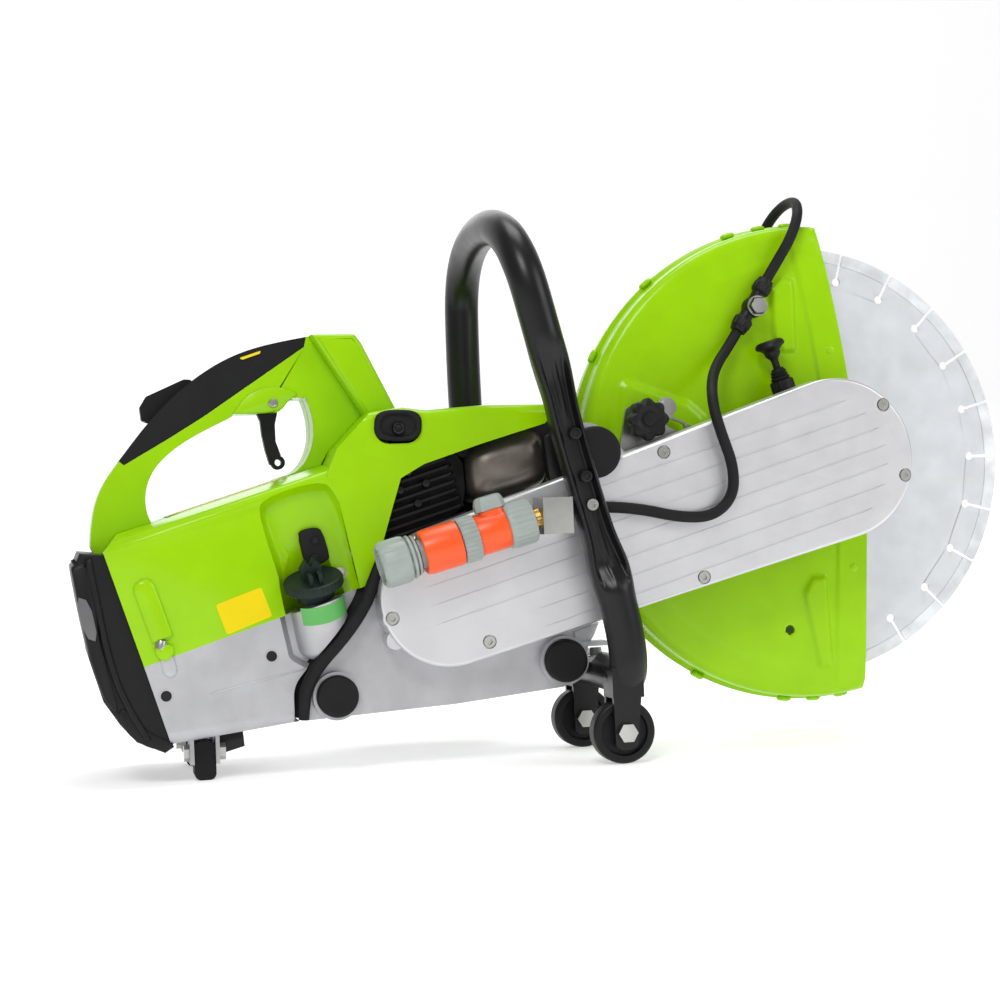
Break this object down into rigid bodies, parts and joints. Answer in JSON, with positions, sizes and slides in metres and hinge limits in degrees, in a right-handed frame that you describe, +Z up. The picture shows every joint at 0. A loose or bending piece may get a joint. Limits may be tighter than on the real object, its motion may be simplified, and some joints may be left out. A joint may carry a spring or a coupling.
{
  "type": "rescue saw",
  "caption": "Petrol-engined rescue saw with a large cut-off blade, tilting guard, belt arm, wrap-round front handle, rear grip with trigger and a hose coupling for water.",
  "frame": {"origin": "on the floor, under the middle of the whole saw's box, with the blade turning in the plane y = 0", "axes": "+X points forward to the blade, -Y is the side with the belt cover and the water coupling, +Y the side with the starter, +Z up"},
  "size_m": [0.7596, 0.244, 0.4382],
  "materials": {
    "green_paint": "gloss",
    "cast_silver": "fine cast",
    "cover_silver": "satin",
    "black_rubber": "matte",
    "black_plastic": "satin",
    "black_coat": "satin",
    "dark_cap": "satin",
    "grey_plastic": "satin",
    "orange_plastic": "satin",
    "brass": "satin",
    "zinc_steel": "zinc plated",
    "bare_steel": "machined",
    "blade_steel": "ground",
    "segment_steel": "sintered",
    "muffler_metal": "heat tinted satin",
    "filter_foam": "felted",
    "rope": "braided"
  },
  "bodies": {
    "chassis": {"air_filter": "filter_foam", "bearings": "bare_steel", "belt_arm": "cast_silver", "belt_cover": "cover_silver", "brass_nipple": "brass", "buffer_caps": "black_rubber", "carburettor": "brass", "cover_screws": "zinc_steel", "crankcase": "cast_silver", "cylinder": "black_coat", "decompression_grommet": "black_rubber", "drive_belt": "black_rubber", "engine_cover": "green_paint", "filter_cover": "green_paint", "front_handle": "black_coat", "gap_seal": "black_rubber", "guard_bracket": "zinc_steel", "handle_grip": "black_rubber", "handle_shell_far": "green_paint", "handle_shell_near": "green_paint", "hex_bolts": "zinc_steel", "hose_nut": "grey_plastic", "knurled_rings": "grey_plastic", "lock_barrel": "zinc_steel", "muffler": "muffler_metal", "rear_body": "green_paint", "rear_cover": "black_plastic", "rear_feet": "black_rubber", "spark_plug": "zinc_steel", "starter_housing": "black_plastic", "tank_housing": "cast_silver", "valve_body": "orange_plastic", "water_block": "zinc_steel", "water_hose": "black_rubber", "wheel_forks": "black_coat"},
    "blade": {"blade_core": "blade_steel", "blade_segments": "segment_steel", "blade_flanges": "bare_steel", "spindle": "bare_steel", "driven_pulley": "bare_steel"},
    "drum": {"clutch_drum": "bare_steel"},
    "crank": {"crankshaft": "bare_steel", "flywheel": "bare_steel"},
    "guard": {"guard_near_shell": "green_paint", "guard_far_shell": "green_paint", "water_tee": "black_plastic", "guard_hose": "black_rubber"},
    "lock": {"lock_knob": "black_plastic"},
    "trigger": {"throttle_trigger": "black_plastic"},
    "interlock": {"throttle_interlock": "black_plastic"},
    "wheel_near_body": {"wheel_near": "black_plastic"},
    "wheel_far_body": {"wheel_far": "black_plastic"},
    "clamp_knob": {"guard_knob": "black_plastic"},
    "cap": {"fuel_cap": "dark_cap"},
    "valve": {"valve_knob": "grey_plastic"},
    "sleeve": {"coupling_sleeve": "orange_plastic"},
    "pull": {"starter_grip": "black_plastic", "starter_rope": "rope"},
    "reel": {"starter_pulley": "black_plastic"},
    "decompressor": {"decompression_button": "black_coat"}
  },
  "joints": [
    {"name": "blade_spin", "type": "hinge", "parent": "chassis", "child": "blade", "pos_m": [0.20514, 0, 0.22166], "axis": [0, 1, 0], "continuous": true},
    {"name": "drum_spin", "type": "hinge", "parent": "chassis", "child": "drum", "pos_m": [-0.106, 0, 0.1295], "axis": [0, 1, 0], "continuous": true},
    {"name": "crank_spin", "type": "hinge", "parent": "chassis", "child": "crank", "pos_m": [-0.106, 0, 0.1295], "axis": [0, 1, 0], "continuous": true},
    {"name": "guard_tilt", "type": "hinge", "parent": "chassis", "child": "guard", "pos_m": [0.20514, 0, 0.22166], "axis": [0, 1, 0], "range_deg": [-10, 12], "deforming": ["water_hose"]},
    {"name": "lock_press", "type": "slide", "parent": "chassis", "child": "lock", "axis": [0.284, 0, -0.9588], "range_m": [0, 0.007], "stiffness_N_per_m": 300, "springref_m": -0.002},
    {"name": "trigger_pull", "type": "hinge", "parent": "chassis", "child": "trigger", "pos_m": [-0.224, 0.005, 0.28], "axis": [0, 1, 0], "range_deg": [0, 16], "stiffness_Nm_per_rad": 0.3, "springref_deg": -11.46},
    {"name": "interlock_press", "type": "hinge", "parent": "chassis", "child": "interlock", "pos_m": [-0.288, 0.005, 0.2945], "axis": [0, -1, 0], "range_deg": [0, 6], "stiffness_Nm_per_rad": 0.3, "springref_deg": -17.19},
    {"name": "near_wheel_roll", "type": "hinge", "parent": "chassis", "child": "wheel_near_body", "pos_m": [0.0165, -0.107, 0.0238], "axis": [0, 1, 0], "continuous": true},
    {"name": "far_wheel_roll", "type": "hinge", "parent": "chassis", "child": "wheel_far_body", "pos_m": [0.0165, 0.01, 0.0238], "axis": [0, 1, 0], "continuous": true},
    {"name": "clamp_turn", "type": "hinge", "parent": "chassis", "child": "clamp_knob", "pos_m": [0.0582, -0.06, 0.2574], "axis": [0, -1, 0], "range_deg": [0, 720]},
    {"name": "cap_turn", "type": "hinge", "parent": "chassis", "child": "cap", "pos_m": [-0.205, -0.07, 0.141], "axis": [-0.1793, -0.342, 0.9224], "range_deg": [0, 360]},
    {"name": "valve_turn", "type": "hinge", "parent": "chassis", "child": "valve", "pos_m": [-0.07736, -0.105, 0.19294], "axis": [-0.2504, 0, 0.9681], "range_deg": [0, 90]},
    {"name": "sleeve_slide", "type": "slide", "parent": "chassis", "child": "sleeve", "axis": [-0.9681, 0, -0.2504], "range_m": [0, 0.003], "stiffness_N_per_m": 300, "springref_m": -0.002},
    {"name": "starter_pull", "type": "slide", "parent": "chassis", "child": "pull", "axis": [0, 0, 1], "range_m": [0, 0.7], "stiffness_N_per_m": 8, "springref_m": -0.3, "deforming": ["starter_rope"]},
    {"name": "reel_spin", "type": "hinge", "parent": "chassis", "child": "reel", "pos_m": [-0.106, 0, 0.1295], "axis": [0, 1, 0], "range_deg": [-10, 1850]},
    {"name": "decompressor_press", "type": "slide", "parent": "chassis", "child": "decompressor", "axis": [0, 1, 0], "range_m": [0, 0.004], "stiffness_N_per_m": 300, "springref_m": -0.002}
  ],
  "couplings": [
    {"joint": "drum_spin", "follows": "blade_spin", "ratio": 1.5},
    {"joint": "reel_spin", "follows": "starter_pull", "rad_per_m": 45.455}
  ]
}
